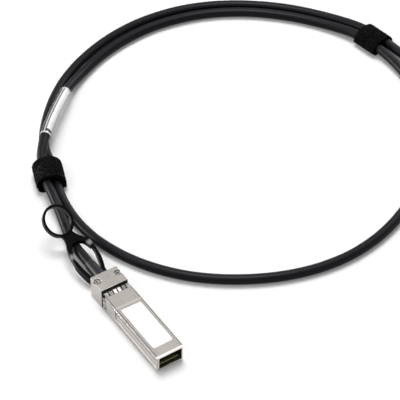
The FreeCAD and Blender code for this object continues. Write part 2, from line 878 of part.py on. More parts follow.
def screws():
    """The two screws that hold the halves of the block together."""
    floor = size.block_height - size.counterbore_depth
    pair = []
    for sign in (1, -1):
        x = size.screw_spacing / 2 * sign
        depth = floor - size.screw_depth
        shank = rod(size.screw_radius, (x, screw_line, size.screw_depth), depth, "z")
        head = rod(size.head_radius, (x, screw_line, floor), size.head_height, "z")
        drive_floor = floor + size.head_height - size.drive_depth
        half = size.drive_width / 2
        arm = size.head_radius * 0.6
        across = brick(x - arm, x + arm, screw_line - half, screw_line + half, drive_floor, drive_floor + 1)
        along = brick(x - half, x + half, screw_line - arm, screw_line + arm, drive_floor, drive_floor + 1)
        drive = joined("MultiFuse", [across, along])
        pair.append(less(joined("MultiFuse", [shank, head]), drive))
    return joined("Compound", pair)


def paddle_card():
    """Circuit board whose front edge carries the contacts."""
    half = size.card_width / 2
    solid = Solid("paddle_card")
    outline = rectangle(-half, half, size.card_setback, front_cavity)
    solid.pad("XY", size.card_height, card_top, outline)
    return solid.body


def contacts():
    """Gold pads on both faces of the card's front edge."""
    pads = []
    front = size.card_setback + size.contact_inset
    for index in range(10):
        middle = size.contact_pitch * (index - 4.5)
        low = middle - size.contact_width / 2
        high = middle + size.contact_width / 2
        end = front + size.contact_length
        pads.append(brick(low, high, front, end, card_top, card_top + size.contact_thickness))
        under = size.card_height - size.contact_thickness
        pads.append(brick(low, high, front, end, under, size.card_height))
    return joined("Compound", pads)


def memory_chip():
    half = size.chip_size / 2
    back = size.chip_setback + size.chip_size
    solid = Solid("memory_chip")
    outline = rectangle(-half, half, size.chip_setback, back)
    solid.pad("XY", card_top, card_top + size.chip_height, outline)
    return solid.body


def wires():
    """The four insulated conductors of the twinax pairs, soldered to the card."""
    start = front_cavity - size.wire_overlap
    height = card_top + size.wire_radius
    cores = []
    for index in range(4):
        centre = (size.wire_pitch * (index - 1.5), start, height)
        cores.append(rod(size.wire_radius, centre, ferrule_front - start, "y"))
    return joined("Compound", cores)


def ferrule():
    """Crimp barrel on the cable's braid."""
    solid = Solid("ferrule")
    section = ("circle", (0, size.cable_height), size.ferrule_radius)
    solid.pad("XZ", ferrule_front, boot_front, section)
    return solid.body


def boot():
    """Moulded strain relief, held in the block by its flange."""
    solid = Solid("boot")
    flange_end = boot_front + size.boot_flange_length
    outline = [
        (boot_front, 0),
        (boot_front, size.boot_flange_radius),
        (flange_end, size.boot_flange_radius),
        (flange_end, size.boot_neck_radius),
        (plug_length, size.boot_neck_radius),
        (plug_length, size.boot_radius),
        (boot_end - 1.5, size.boot_end_radius),
        (boot_end, size.cable_radius),
        (boot_end, 0),
    ]
    solid.turned("Revolution", size.cable_height, outline)
    return solid.body


def label():
    """Bare sticker in the cover's shallow panel."""
    half = size.label_width / 2
    solid = Solid("label")
    end = size.label_setback + size.label_length
    low = top - size.label_recess
    outline = rectangle(-half, half, size.label_setback, end)
    solid.pad("XY", low, low + size.label_thickness, outline)
    solid.dress("Fillet", size.label_rounding, upright)
    return solid.body


def upright(edge):
    ends = [vertex.Point for vertex in edge.Vertexes]
    return len(ends) == 2 and abs(ends[0].z - ends[1].z) > 0.01


PLUG_PIECES = (
    base,
    cover,
    emi_collar,
    screws,
    latch,
    latch_pin,
    slider,
    return_spring,
    bottom_plate,
    pull_tab,
    paddle_card,
    contacts,
    memory_chip,
    wires,
    ferrule,
    boot,
    label,
)

for prefix, cable_end in (("plug_a", ROUTE[0]), ("plug_b", ROUTE[-1])):
    for make in PLUG_PIECES:
        finish(make(), f"{prefix}_{make.__name__}", cable_end[0], cable_end[1] - boot_end)


# ---- cable and what is on it -----------------------------------------------------------------


def smooth_path(points):
    """Straight runs joined by tangent arcs; also gives the arcs' radii."""
    spots = [FreeCAD.Vector(*point) for point in points]
    edges = []
    radii = []
    here = spots[0]
    for before, corner, after in zip(spots, spots[1:], spots[2:]):
        back = before - corner
        ahead = after - corner
        tangent = 0.45 * min(back.Length, ahead.Length)
        half_turn = (math.pi - back.getAngle(ahead)) / 2
        radii.append(tangent / math.tan(half_turn))
        back.normalize()
        ahead.normalize()
        start = corner + back * tangent
        end = corner + ahead * tangent
        inward = (back + ahead).normalize()
        middle = corner + inward * (radii[-1] / math.cos(half_turn) - radii[-1])
        edges.append(Part.LineSegment(here, start).toShape())
        edges.append(Part.Arc(start, middle, end).toShape())
        here = end
    edges.append(Part.LineSegment(here, spots[-1]).toShape())
    return edges, radii


def swept(edges, radius):
    """A round bar along the edges."""
    start = edges[0].valueAt(edges[0].FirstParameter)
    heading = edges[0].tangentAt(edges[0].FirstParameter)
    profile = Part.Wire([Part.makeCircle(radius, start, heading)])
    return Part.Wire(edges).makePipeShell([profile], True, False)


def add_shape(label, shape):
    feature = doc.addObject("Part::Feature", label)
    feature.Shape = shape
    feature.Label = label
    pieces[label] = feature


route_edges, route_radii = smooth_path(ROUTE)
route_length = sum(edge.Length for edge in route_edges)
cable_radius = NUMBERS["cable_radius"]
jacket = swept(route_edges, cable_radius)
add_shape("cable_jacket", jacket)
print("arc radii:", " ".join(f"{radius:.0f}" for radius in route_radii))
expected = math.pi * cable_radius**2 * route_length
print(f"route {route_length:.1f} mm, volume {jacket.Volume:.0f} of {expected:.0f}")


def sleeve_shapes():
    """A clear tube over one stretch of the cable and the white tag that it covers."""
    edges = route_edges[SLEEVE_STRETCH]
    tag_inner = cable_radius + NUMBERS["tag_gap"]
    tag_outer = tag_inner + NUMBERS["tag_thickness"]
    inner = cable_radius + NUMBERS["sleeve_gap"]
    outer = inner + NUMBERS["sleeve_wall"]
    tube = swept(edges, outer).cut(swept(edges, inner))
    tag_edges = edges[1:-1]
    tag = swept(tag_edges, tag_outer).cut(swept(tag_edges, tag_inner))
    return tube, tag


sleeve_tube, sleeve_tag = sleeve_shapes()
add_shape("sleeve", sleeve_tube)
add_shape("sleeve_tag", sleeve_tag)


def strap(label, place):
    """Hook-and-loop strap: a closed band round both runs, with its tail lapped on top."""
    thickness = size.strap_thickness
    half = place["inner_width"] / 2
    tall = place["inner_height"]
    solid = Solid(label)
    outer = rectangle(-half - thickness, half + thickness, 0, 2 * thickness + tall)
    solid.pad("XZ", -(size.strap_width / 2), size.strap_width / 2, outer)
    solid.dress("Fillet", size.strap_rounding, lengthwise)
    inner = rectangle(-half, half, thickness, thickness + tall)
    solid.pocket("XZ", -(size.strap_width / 2), size.strap_width / 2, inner)
    solid.body.Label = label
    turn = FreeCAD.Rotation(FreeCAD.Vector(0, 0, 1), place["heading"])
    solid.body.Placement = FreeCAD.Placement(FreeCAD.Vector(*place["centre"], 0), turn)
    pieces[label] = solid.body


def lengthwise(edge):
    ends = [vertex.Point for vertex in edge.Vertexes]
    return len(ends) == 2 and abs(ends[0].y - ends[1].y) > 0.01


strap("strap_1", STRAP_1)
strap("strap_2", STRAP_2)


# ---- checks and export -----------------------------------------------------------------------

doc.recompute()
for item in doc.Objects:
    if "Invalid" in item.State or "Error" in item.State:
        raise RuntimeError(f"{item.Label} did not build: {item.State}")
os.makedirs("parts", exist_ok=True)
for name, item in pieces.items():
    shape = item.Shape
    if shape.isNull() or not shape.isValid():
        raise RuntimeError(f"{name} is not a valid shape")
    shape.exportStep(f"parts/{name}.step")
    box = shape.BoundBox
    print(
        f"{name}: {len(shape.Solids)} solid, {shape.Volume:.1f} mm3,"
        f" x {box.XMin:.2f}..{box.XMax:.2f} y {box.YMin:.2f}..{box.YMax:.2f}"
        f" z {box.ZMin:.2f}..{box.ZMax:.2f}"
    )
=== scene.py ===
import json
import math
import random

import bmesh
import bpy
from mathutils import Matrix, Vector

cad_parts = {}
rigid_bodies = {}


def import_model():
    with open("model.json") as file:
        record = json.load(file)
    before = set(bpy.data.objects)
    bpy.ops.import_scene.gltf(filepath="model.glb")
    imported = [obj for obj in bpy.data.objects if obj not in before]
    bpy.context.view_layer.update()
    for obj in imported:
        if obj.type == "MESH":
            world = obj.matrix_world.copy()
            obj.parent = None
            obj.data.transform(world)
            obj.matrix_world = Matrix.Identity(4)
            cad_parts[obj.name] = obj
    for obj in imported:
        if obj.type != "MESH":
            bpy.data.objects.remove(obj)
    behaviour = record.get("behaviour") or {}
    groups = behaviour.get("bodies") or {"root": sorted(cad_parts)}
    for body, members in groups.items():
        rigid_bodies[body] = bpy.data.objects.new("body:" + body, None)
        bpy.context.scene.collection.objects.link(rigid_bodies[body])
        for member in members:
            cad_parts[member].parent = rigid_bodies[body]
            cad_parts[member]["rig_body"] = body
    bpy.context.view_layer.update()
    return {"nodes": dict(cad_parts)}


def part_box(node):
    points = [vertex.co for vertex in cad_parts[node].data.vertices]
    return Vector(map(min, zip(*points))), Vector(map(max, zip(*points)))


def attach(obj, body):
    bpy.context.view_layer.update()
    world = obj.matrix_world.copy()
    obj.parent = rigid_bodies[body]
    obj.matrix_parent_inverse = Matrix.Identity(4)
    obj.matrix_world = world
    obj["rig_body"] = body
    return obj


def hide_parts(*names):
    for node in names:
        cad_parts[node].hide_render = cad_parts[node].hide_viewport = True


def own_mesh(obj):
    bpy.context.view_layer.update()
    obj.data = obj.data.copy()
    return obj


# Direct attach copper cable lying on a pale floor: the loop of cable, the plug at each end with
# its pull tab, the clear label sleeve and the two hook-and-loop straps.

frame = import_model()
nodes = frame["nodes"]
bpy.ops.object.select_all(action="DESELECT")
scene = bpy.context.scene
scene.view_settings.view_transform = "Standard"


def middle(node):
    """The middle of a node's box at rest, as its x, y and z."""
    return [(low + high) / 2 for low, high in zip(*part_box(node))]


# ---- camera -----------------------------------------------------------------------------------

AIM = Vector((0.06797, 0.02952, 0.0))
AZIMUTH = math.radians(-33.24)
ELEVATION = math.radians(44.384)
CAMERA_DISTANCE = 1.0

toward_camera = Vector(
    (
        math.sin(AZIMUTH) * math.cos(ELEVATION),
        -math.cos(AZIMUTH) * math.cos(ELEVATION),
        math.sin(ELEVATION),
    )
)
camera_data = bpy.data.cameras.new("camera")
camera = bpy.data.objects.new("camera", camera_data)
scene.collection.objects.link(camera)
camera.location = AIM + CAMERA_DISTANCE * toward_camera
camera.rotation_euler = (-toward_camera).to_track_quat("-Z", "Y").to_euler()
camera_data.lens = 190.0
camera_data.sensor_width = 36.0
camera_data.clip_end = 20.0
scene.camera = camera


# ---- materials --------------------------------------------------------------------------------


class Wire:
    """A shader socket that arithmetic adds Math nodes to."""

    def __init__(self, tree, socket):
        self.tree = tree
        self.socket = socket

    def math(self, operation, *values):
        node = self.tree.nodes.new("ShaderNodeMath")
        node.operation = operation
        for slot, value in zip(node.inputs, values):
            if isinstance(value, Wire):
                self.tree.links.new(value.socket, slot)
            else:
                slot.default_value = value
        return Wire(self.tree, node.outputs[0])

    def __add__(self, other):
        return self.math("ADD", self, other)

    def __radd__(self, other):
        return self.math("ADD", other, self)

    def __sub__(self, other):
        return self.math("SUBTRACT", self, other)

    def __rsub__(self, other):
        return self.math("SUBTRACT", other, self)

    def __mul__(self, other):
        return self.math("MULTIPLY", self, other)

    def __rmul__(self, other):
        return self.math("MULTIPLY", other, self)

    def __abs__(self):
        return self.math("ABSOLUTE", self)

    def above(self, limit):
        return self.math("GREATER_THAN", self, limit)

    def below(self, limit):
        return self.math("LESS_THAN", self, limit)

    def clamped(self):
        node = self.tree.nodes.new("ShaderNodeClamp")
        self.tree.links.new(self.socket, node.inputs[0])
        return Wire(self.tree, node.outputs[0])


class Finish:
    """A material built up from nodes."""

    def __init__(self, name):
        self.material = bpy.data.materials.new(name)
        self.material.use_nodes = True
        self.tree = self.material.node_tree
        self.tree.nodes.clear()
        self.output = self.tree.nodes.new("ShaderNodeOutputMaterial")

    def node(self, kind, settings=(), result=0, **values):
        """Adds a node: first its settings, then the values or links of its sockets.

        A socket is given by name, with _ for a space, or by number, as in i0.
        """
        node = self.tree.nodes.new("ShaderNode" + kind)
        for name, value in dict(settings).items():
            setattr(node, name, value)
        for name, value in values.items():
            key = int(name[1:]) if name[1:].isdigit() else name.replace("_", " ")
            if isinstance(value, Wire):
                self.tree.links.new(value.socket, node.inputs[key])
            else:
                node.inputs[key].default_value = value
        return Wire(self.tree, node.outputs[result])

    def place(self):
        return self.node("TexCoord", result="Object")

    def axis(self, name):
        return self.node("SeparateXYZ", result=name, i0=self.place())

    def noise(self, scale, detail=2.0, roughness=0.5):
        place = self.place()
        return self.node("TexNoise", Vector=place, Scale=scale, Detail=detail, Roughness=roughness)

    def streaks(self, scale, detail, roughness):
        """Noise with a scale of its own along each axis."""
        drawn_out = self.node("Mapping", Vector=self.place(), Scale=scale)
        return self.node("TexNoise", Vector=drawn_out, Scale=1.0, Detail=detail, Roughness=roughness)

    def blend(self, amount, first, second):
        """Mixes two colours by an amount that varies over the surface."""
        return self.node("Mix", {"data_type": "RGBA"}, result=2, i0=amount, i6=first, i7=second)

    def bump(self, height, distance, strength):
        return self.node("Bump", Height=height, Distance=distance, Strength=strength)

    def surface(self, **values):
        shader = self.node("BsdfPrincipled", **values)
        self.tree.links.new(shader.socket, self.output.inputs[0])
        return self.material


def grey(level):
    return (level, level, level, 1.0)


def opaque(tone):
    return tuple(tone) + (1.0,)


def scaled(tone, factor):
    return opaque(min(1.0, factor * part) for part in tone)


def dress(name, material):
    """Gives a carried-over node its finish."""
    piece = nodes[name]
    piece.data.materials.clear()
    piece.data.materials.append(material)


def cable_finish():
    kit = Finish("cable_black")
    grain = kit.noise(900.0, 3.0, 0.6)
    wide = kit.noise(60.0, 2.0)
    return kit.surface(
        Base_Color=kit.blend(wide, (0.0020, 0.0021, 0.0034, 1), (0.0036, 0.0037, 0.0058, 1)),
        Roughness=0.36 + 0.10 * wide + 0.05 * grain,
        Specular_IOR_Level=0.10,
        Normal=kit.bump(grain, 0.00003, 0.4),
    )


HALF_PITCH = round((middle("plug_b_cover")[0] - middle("plug_a_cover")[0]) / 2, 4)


def across_plug(kit):
    """Distance to the right of the middle of whichever plug is nearer."""
    return kit.node("Math", {"operation": "WRAP"}, i0=kit.axis("X"), i1=HALF_PITCH, i2=-HALF_PITCH)


# Where the painted light and shade on the shell change: places along it and levels in the frame, and
# reaches to either side of the plug's middle.
SHELL_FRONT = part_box("plug_a_base")[0].y
SHELL_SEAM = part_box("plug_a_base")[1].z
SHELL_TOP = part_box("plug_a_label")[0].z
LIP_END = SHELL_FRONT + 0.0010
LIP_SHARPNESS = 5000.0
EASED_TOP = SHELL_TOP - 0.0003
PANELS_END = -0.0080
CREASE = -0.0161
CREASE_HALF_WIDTH = 0.0004
FLANK_REACH = 0.00662
BRINK_REACH = 0.00634
PANEL_REACH = 0.00656
RAIL = (0.0014, 0.00226)
JOINT = (SHELL_SEAM - 0.0008, SHELL_SEAM - 0.0002)
ROLL_START = 0.0049
PANEL_LINE = (0.0059, 0.0067)


def between(wire, limits):
    """1 where a value lies between two limits, else 0."""
    return wire.above(limits[0]) * wire.below(limits[1])


def shell_painted_light(kit, colour):
    """Painted light and shade that follow the shell's shape: painted light on the flanks, painted shade in
    the seam and on the brinks, painted highlights on the rail, crease and lip.
    """
    across = abs(across_plug(kit))
    along, up = kit.axis("Y"), kit.axis("Z")
    beside_panels = along.below(PANELS_END)
    flank = across.above(FLANK_REACH) * up.below(SHELL_TOP - 0.0002)
    # painted light: the flanks lighter than the top
    colour = kit.blend(flank, colour, opaque((0.455, 0.427, 0.404)))
    rail = flank * beside_panels * between(up, RAIL)
    # painted highlight along the rail
    colour = kit.blend(rail, colour, opaque((0.66, 0.63, 0.605)))
    joint = flank * beside_panels * between(up, JOINT)
    brink = across.above(BRINK_REACH) * beside_panels * up.above(EASED_TOP)
    # painted shade in the seam and along the brinks of the top
    colour = kit.blend((joint + brink).clamped(), colour, opaque((0.10, 0.094, 0.09)))
    crease = abs(along - CREASE).below(CREASE_HALF_WIDTH) * up.above(EASED_TOP)
    # painted highlight on the crease across the top
    colour = kit.blend(crease * 0.5, colour, opaque((0.60, 0.57, 0.54)))
    lip = ((LIP_END - along) * LIP_SHARPNESS).clamped() * up.above(EASED_TOP)
    # painted highlight on the front lip
    return kit.blend(lip, colour, opaque((0.92, 0.90, 0.87)))


def panel_painted_light(kit, colour):
    """Painted light and shade on the sunk side panels: a painted highlight on the roll along the top, with a
    line of painted shade in it.
    """
    up = kit.axis("Z")
    sunk = abs(across_plug(kit)).below(PANEL_REACH)
    # painted highlight on the roll, then a line of painted shade in it
    colour = kit.blend(sunk * up.above(ROLL_START), colour, opaque((0.60, 0.565, 0.535)))
    return kit.blend(sunk * between(up, PANEL_LINE), colour, opaque((0.08, 0.075, 0.072)))


def cast_finish(name, tone, roughness, paint=None):
    """Nickel-finished die casting: a fine grain, faint flow marks and slightly uneven plating.

    paint adds painted light and shade that follow the casting's shape.
    """
    kit = Finish(name)
    wide = kit.noise(140.0, 3.0, 0.55)
    grain = kit.noise(3200.0, 3.0, 0.7)
    streak = kit.streaks((2600.0, 90.0, 900.0), 4.0, 0.6)
    uneven = (wide * 0.5 + streak * 0.3 + grain * 0.2).clamped()
    colour = kit.blend(uneven, scaled(tone, 0.82), scaled(tone, 1.12))
    if paint:
        colour = paint(kit, colour)
    return kit.surface(
        Base_Color=colour,
        Metallic=1.0,
        Roughness=roughness + 0.10 * uneven,
        Normal=kit.bump(grain * 0.7 + streak * 0.3, 0.000025, 0.45),
    )


def edge_highlight_finish(name, tone):
    """Edge of a casting, painted brighter than its faces as a highlight, and smoother than them."""
    kit = Finish(name)
    rub = kit.noise(1500.0, 3.0, 0.6)
    return kit.surface(
        Base_Color=kit.blend(rub, scaled(tone, 0.9), scaled(tone, 1.2)),
        Metallic=1.0,
        Roughness=0.24 + 0.16 * rub,
        Normal=kit.bump(rub, 0.00002, 0.3),
    )


def sheet_finish(name, tone, roughness):
    """Rolled spring sheet, with fine lines across the plug, the way it was rolled."""
    kit = Finish(name)
    lines = kit.streaks((80.0, 4000.0, 4000.0), 3.0, 0.6)
    return kit.surface(
        Base_Color=kit.blend(lines, scaled(tone, 0.85), opaque(tone)),
        Metallic=1.0,
        Roughness=roughness + 0.12 * lines,
        Normal=kit.bump(lines, 0.00001, 0.3),
    )


FINGER_PITCH = 0.0022
SLIT_HALF_WIDTH = 0.00030
TOP_ROW_REACH = 0.0062


def finger_finish():
    """Row of spring fingers: painted shade in the slits between them on top, and a painted highlight that
    fades towards the ends of the row, over random duller patches.
    """
    kit = Finish("spring_painted_highlight")
    across = across_plug(kit)
    off_slit = kit.node("Math", {"operation": "PINGPONG"}, i0=across, i1=FINGER_PITCH / 2)
    on_top = (TOP_ROW_REACH - abs(across)).above(0.0)
    # painted shade in the slits between the fingers on top
    slit = off_slit.below(SLIT_HALF_WIDTH) * on_top
    dull = kit.noise(330.0, 2.0, 0.5)
    # painted highlight, strongest at the middle of the row
    bright = (1.5 - abs(across + 0.0004) * 520.0).clamped() * on_top
    highlight_and_dullness = (bright + (dull - 0.42) * 1.6).clamped()
    sheet = kit.blend(highlight_and_dullness, (0.26, 0.25, 0.24, 1), (0.93, 0.91, 0.88, 1))
    return kit.surface(
        Base_Color=kit.blend(slit, sheet, (0.02, 0.02, 0.02, 1)),
        Metallic=1.0,
        Roughness=0.14 + 0.14 * dull,
    )


def gold_finish():
    kit = Finish("contact_gold")
    wear = kit.noise(2500.0, 2.0)
    return kit.surface(
        Base_Color=kit.blend(wear, (0.72, 0.47, 0.14, 1), (0.88, 0.64, 0.25, 1)),
        Metallic=1.0,
        Roughness=0.22 + 0.15 * wear,
    )


def board_finish():
    """Olive solder mask over a faint weave, with lighter tracks just under it."""
    kit = Finish("board_olive")
    place = kit.place()
    diagonal, straight = {"bands_direction": "DIAGONAL"}, {"bands_direction": "X"}
    weave = kit.node("TexWave", diagonal, result=1, Vector=place, Scale=900.0, Distortion=0.4)
    stripes = kit.node("TexWave", straight, result=1, Vector=place, Scale=390.0)
    track = ((stripes - 0.55) * 6.0).clamped()
    tint = kit.blend(track, (0.050, 0.062, 0.022, 1), (0.085, 0.105, 0.036, 1))
    return kit.surface(
        Base_Color=tint,
        Roughness=0.32 + 0.1 * weave,
        Normal=kit.bump(track * 0.7 + weave * 0.3, 0.00002, 0.5),
    )


def plastic_finish(name, dark, light, roughness, spread, gloss=0.5):
    """Moulded plastic or rubber: a fine grain under a slightly uneven gloss."""
    kit = Finish(name)
    wide = kit.noise(220.0, 3.0, 0.55)
    grain = kit.noise(4200.0, 3.0, 0.65)
    return kit.surface(
        Base_Color=kit.blend(wide, opaque(dark), opaque(light)),
        Roughness=roughness + spread * wide,
        Specular_IOR_Level=gloss,
        Normal=kit.bump(grain, 0.00002, 0.4),
    )


# Where the painted highlight on the tab's arms lies, at their bend: at a place along the tab that shifts with
# the way across it.
BEND_START = 0.0257
BEND_SLANT = 0.31
BEND_HALF_LENGTH = 0.0019
ARM_INNER_EDGE = 0.0043
ARM_UNDERSIDE = 0.0060


def tab_finish():
    """Glossy black moulding, with a painted highlight where its two arms bend down from the fork."""
    kit = Finish("tab_black")
    wide = kit.noise(220.0, 3.0, 0.55)
    grain = kit.noise(4200.0, 3.0, 0.65)
    across = across_plug(kit)
    off_bend = abs(kit.axis("Y") - BEND_START - across * BEND_SLANT)
    on_arm = abs(across).above(ARM_INNER_EDGE) * kit.axis("Z").above(ARM_UNDERSIDE)
    # painted highlight on the arms at their bend
    bend = ((BEND_HALF_LENGTH - off_bend) * 700.0).clamped() * on_arm
    black = kit.blend(wide, (0.0008, 0.0008, 0.0010, 1), (0.0016, 0.0016, 0.0019, 1))
    return kit.surface(
        Base_Color=kit.blend(bend * (0.5 + 0.5 * wide), black, grey(0.34)),
        Roughness=0.16 + 0.12 * wide,
        Specular_IOR_Level=0.045,
        Normal=kit.bump(grain, 0.00002, 0.4),
    )


def paper_finish(name, tone):
    """White label stock: short fibres under a thin clear film."""
    kit = Finish(name)
    fibre = kit.streaks((2200.0, 5200.0, 2200.0), 4.0, 0.7)
    wide = kit.noise(90.0, 2.0)
    return kit.surface(
        Base_Color=kit.blend((fibre * 0.6 + wide * 0.4).clamped(), grey(tone * 0.95), grey(tone)),
        Roughness=0.42 + 0.14 * fibre,
        Normal=kit.bump(fibre, 0.00001, 0.3),
    )


def film_finish(ends, reach):
    """Clear film: nearly see-through, cloudier where handled, and milky at its two cut ends."""
    kit = Finish("film_clear")
    cloud = kit.noise(260.0, 4.0, 0.6)
    distance = {"operation": "DISTANCE"}
    off_ends = [kit.node("VectorMath", distance, result=1, i0=kit.place(), i1=end) for end in ends]
    near_end = off_ends[0].below(reach) + off_ends[1].below(reach)
    rim = near_end.clamped() * (0.35 + 0.5 * cloud)
    return kit.surface(
        Base_Color=kit.blend(cloud, grey(0.80), grey(0.92)),
        Roughness=0.08 + 0.10 * cloud,
        Alpha=(0.01 + 0.10 * cloud + rim).clamped(),
        Coat_Weight=0.8,
        Coat_Roughness=0.05,
    )


SPECKLE_EDGE_X = 0.0125


def pile_finish():
    """Black looped pile, with a painted highlight on the tips of some loops, most where x lies below a set
    edge.
    """
    kit = Finish("pile_black")
    tuft = kit.node("TexVoronoi", {"feature": "F1"}, Vector=kit.place(), Scale=1900.0)
    patch = kit.noise(420.0, 4.0, 0.7)
    below_edge_weight = 0.35 + 0.65 * ((SPECKLE_EDGE_X - kit.axis("X")) * 400.0).clamped()
    tip = ((0.42 - tuft) * 3.0).clamped() * ((patch - 0.45) * 5.0).clamped() * below_edge_weight
    return kit.surface(
        Base_Color=kit.blend(tip, (0.0012, 0.0012, 0.0014, 1), (0.20, 0.20, 0.202, 1)),
        Roughness=0.95,
        Specular_IOR_Level=0.04,
        Normal=kit.bump(1.0 - tuft, 0.00025, 0.8),
    )


# ---- ways of making pieces --------------------------------------------------------------------


def hold(piece):
    """Makes one piece the active and only selected one."""
    bpy.ops.object.select_all(action="DESELECT")
    piece.select_set(True)
    bpy.context.view_layer.objects.active = piece


def apply_modifiers(piece):
    hold(piece)
    for modifier in list(piece.modifiers):
        bpy.ops.object.modifier_apply(modifier=modifier.name)


def smooth(piece, angle):
    hold(piece)
    bpy.ops.object.shade_smooth_by_angle(angle=math.radians(angle))
    bpy.ops.object.select_all(action="DESELECT")


def select_vertices(piece, chosen):
    """Selects, in a piece that is open for editing, the vertices that a test picks by their place."""
    bpy.ops.mesh.select_mode(type="VERT")
    mesh = bmesh.from_edit_mesh(piece.data)
    for vertex in mesh.verts:
        vertex.select_set(chosen(vertex.co))
    mesh.select_flush_mode()
    bmesh.update_edit_mesh(piece.data)


def settle_order(piece):
    """Lists a piece's faces by their vertices, since editing leaves them in another order each run."""
    mesh = piece.data
    places = [vertex.co.copy() for vertex in mesh.vertices]
    faces = sorted((list(face.vertices) for face in mesh.polygons), key=sorted)
    mesh.clear_geometry()
    mesh.from_pydata(places, [], faces)


def fatten(piece, start, end, amount):
    """Makes a piece that is open for editing fuller between two places along it."""
    select_vertices(piece, lambda place: start < place.y < end)
    bpy.ops.transform.shrink_fatten(value=amount, use_even_offset=True)


WELD = 0.000004
FLAT_ANGLE = math.radians(2.0)
SHARP_ANGLE = math.radians(28.0)
CLEAR_OF_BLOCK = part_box("plug_a_base")[1].y + 0.0006
# Where each finish stands in a casting's list of finishes; the screws' list has the first three.
# In the shell's list, EDGE carries a painted highlight, GAP and BRINK painted shade, PANEL and LEDGE painted
# light.
FACE, EDGE, GAP, PANEL, BRINK, LEDGE = range(6)


def eased(name, width, finishes, fuller=()):
    """A copy of a carried-over node with its sharp edges eased; the eased strips take the second finish.

    What stands clear behind the plug's block is made fuller, by each amount up to its own place.
    """
    node = nodes[name]
    piece = bpy.data.objects.new(name + "_eased", node.data.copy())
    scene.collection.objects.link(piece)
    piece.data.materials.clear()
    for finish in finishes:
        piece.data.materials.append(finish)
    for polygon in piece.data.polygons:
        polygon.material_index = FACE
    hold(piece)
    bpy.ops.object.mode_set(mode="EDIT")
    bpy.ops.mesh.select_all(action="SELECT")
    bpy.ops.mesh.remove_doubles(threshold=WELD)
    bpy.ops.mesh.dissolve_limited(angle_limit=FLAT_ANGLE)
    for until, amount in fuller:
        fatten(piece, CLEAR_OF_BLOCK, until, amount)
    bpy.ops.object.mode_set(mode="OBJECT")
    bevel = piece.modifiers.new("ease", "BEVEL")
    bevel.width = width
    bevel.segments = 2
    bevel.limit_method = "ANGLE"
    bevel.angle_limit = SHARP_ANGLE
    bevel.use_clamp_overlap = True
    bevel.miter_outer = "MITER_ARC"
    if len(finishes) > 1:
        bevel.material = EDGE
    apply_modifiers(piece)
    smooth(piece, 40)
    flat = piece.modifiers.new("flat", "WEIGHTED_NORMAL")
    flat.weight = 100
    flat.keep_sharp = True
    apply_modifiers(piece)
    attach(piece, node["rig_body"])
    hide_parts(name)
    return piece


def redo_faces(piece, index, chosen):
    """Gives the faces that a test picks, by their middle and normal, another of the piece's finishes."""
    for polygon in piece.data.polygons:
        if chosen(polygon.center, polygon.normal):
            polygon.material_index = index


# ---- cable ------------------------------------------------------------------------------------

ROUTE = [
    (0.0, 0.0182, 0.0054),
    (0.0, 0.0248, 0.0054),
    (0.0008, 0.0322, 0.0041),
    (0.0024, 0.04, 0.0029),
    (0.0045, 0.0474, 0.0028),
    (0.0062, 0.0542, 0.0041),
    (0.0075, 0.061, 0.0059),
    (0.009, 0.0682, 0.0065),
    (0.0108, 0.0755, 0.0056),
    (0.0133, 0.0822, 0.0054),
    (0.0159, 0.0884, 0.0063),
    (0.0198, 0.0943, 0.0079),
    (0.0249, 0.1004, 0.0085),
    (0.0308, 0.1068, 0.0083),
    (0.0372, 0.1129, 0.0079),
    (0.0438, 0.119, 0.0071),
    (0.0506, 0.1252, 0.0058),
    (0.0582, 0.131, 0.004),
    (0.0676, 0.1362, 0.0026),
    (0.08, 0.142, 0.00245),
    (0.097, 0.1466, 0.00245),
    (0.118, 0.1482, 0.00245),
    (0.142, 0.1432, 0.00245),
    (0.1634, 0.1316, 0.00245),
    (0.1806, 0.1156, 0.00245),
    (0.193, 0.0982, 0.0027),
    (0.1998, 0.0836, 0.0041),
    (0.2021, 0.0704, 0.0041),
    (0.2033, 0.056, 0.003),
    (0.2012, 0.038, 0.00245),
    (0.1936, 0.0178, 0.00245),
    (0.1794, -0.0038, 0.00245),
    (0.16, -0.0212, 0.00245),
    (0.1386, -0.0336, 0.00245),
    (0.116, -0.0405, 0.00245),
    (0.0936, -0.0411, 0.00245),
    (0.0714, -0.0355, 0.00245),
    (0.0502, -0.0243, 0.00245),
    (0.0326, -0.0095, 0.00245),
    (0.0196, 0.0091, 0.00245),
    (0.0126, 0.028, 0.00245),
    (0.0106, 0.0418, 0.00245),
    (0.0108, 0.0522, 0.00245),
    (0.0119, 0.0608, 0.0026),
    (0.0133, 0.0676, 0.0035),
    (0.0155, 0.0738, 0.004),
    (0.018, 0.0804, 0.0039),
    (0.0203, 0.0872, 0.0038),
    (0.0219, 0.0944, 0.0026),
    (0.0246, 0.1018, 0.00245),
    (0.0294, 0.1096, 0.00245),
    (0.0362, 0.118, 0.00245),
    (0.0454, 0.1276, 0.00245),
    (0.0576, 0.1374, 0.00245),
    (0.0736, 0.146, 0.00245),
    (0.094, 0.1526, 0.00245),
    (0.116, 0.1546, 0.00245),
    (0.14, 0.1506, 0.00245),
    (0.163, 0.1392, 0.00245),
    (0.1834, 0.1218, 0.00245),
    (0.198, 0.1016, 0.0027),
    (0.2056, 0.0848, 0.0041),
    (0.208, 0.0708, 0.0041),
    (0.2098, 0.0594, 0.0032),
    (0.2124, 0.049, 0.0027),
    (0.2145, 0.04, 0.0027),
    (0.2158, 0.0322, 0.0038),
    (0.216, 0.0248, 0.0054),
    (0.216, 0.0182, 0.0054),
]
CABLE_RADIUS = 0.0024


